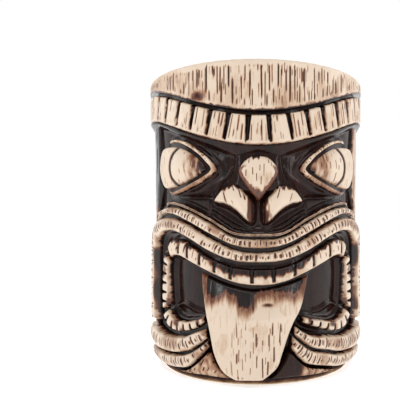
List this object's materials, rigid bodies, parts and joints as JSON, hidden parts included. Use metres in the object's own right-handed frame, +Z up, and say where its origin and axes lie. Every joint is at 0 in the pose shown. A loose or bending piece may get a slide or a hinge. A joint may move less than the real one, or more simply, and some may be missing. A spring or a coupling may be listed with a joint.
{
  "type": "tiki mug",
  "caption": "Straight-sided ceramic drinking mug carved as a grimacing tiki face with headband, almond eyes, bared teeth and a long hanging tongue.",
  "frame": {"origin": "centre of the foot ring's underside, on the mug's axis, at table height", "axes": "+Z up along the cup's axis; the face looks along -Y; +X is to the right of someone facing the mug"},
  "size_m": [0.102, 0.1032, 0.13],
  "materials": {
    "sand_glaze": "sand-coloured glossy glaze, with dark brown stain lying in its carved scratches and grooves",
    "bark_glaze": "the same glaze over the wood-grain of the back, browner in the hollows",
    "dark_glaze": "dark brown, nearly black glossy glaze pooled in the deep parts",
    "cup_glaze": "dark brown glossy glaze, inside the cup and on the ground behind the carving",
    "bare_clay": "unglazed matt fired clay, slightly rubbed"
  },
  "bodies": {
    "root": {"cup": "cup_glaze", "foot_ring": "bare_clay", "hair_crown": "sand_glaze", "headband": "sand_glaze", "back_panel": "bark_glaze", "nose_root": "dark_glaze", "nose_bridge": "sand_glaze", "lip_ridge": "sand_glaze", "lip": "sand_glaze", "inner_lip": "sand_glaze", "upper_teeth": "sand_glaze", "tongue": "sand_glaze", "eyelid_left": "sand_glaze", "eyelid_right": "sand_glaze", "eyeball_left": "sand_glaze", "eyeball_right": "sand_glaze", "nostril_left": "sand_glaze", "nostril_right": "sand_glaze", "cheek_left": "dark_glaze", "cheek_right": "dark_glaze", "side_teeth_left": "sand_glaze", "side_teeth_right": "sand_glaze", "lower_teeth_left": "sand_glaze", "lower_teeth_right": "sand_glaze", "jaw_upper_left": "sand_glaze", "jaw_upper_right": "sand_glaze", "jaw_lower_left": "sand_glaze", "jaw_lower_right": "sand_glaze", "jaw_fan_left": "dark_glaze", "jaw_fan_right": "dark_glaze"}
  },
  "joints": []
}
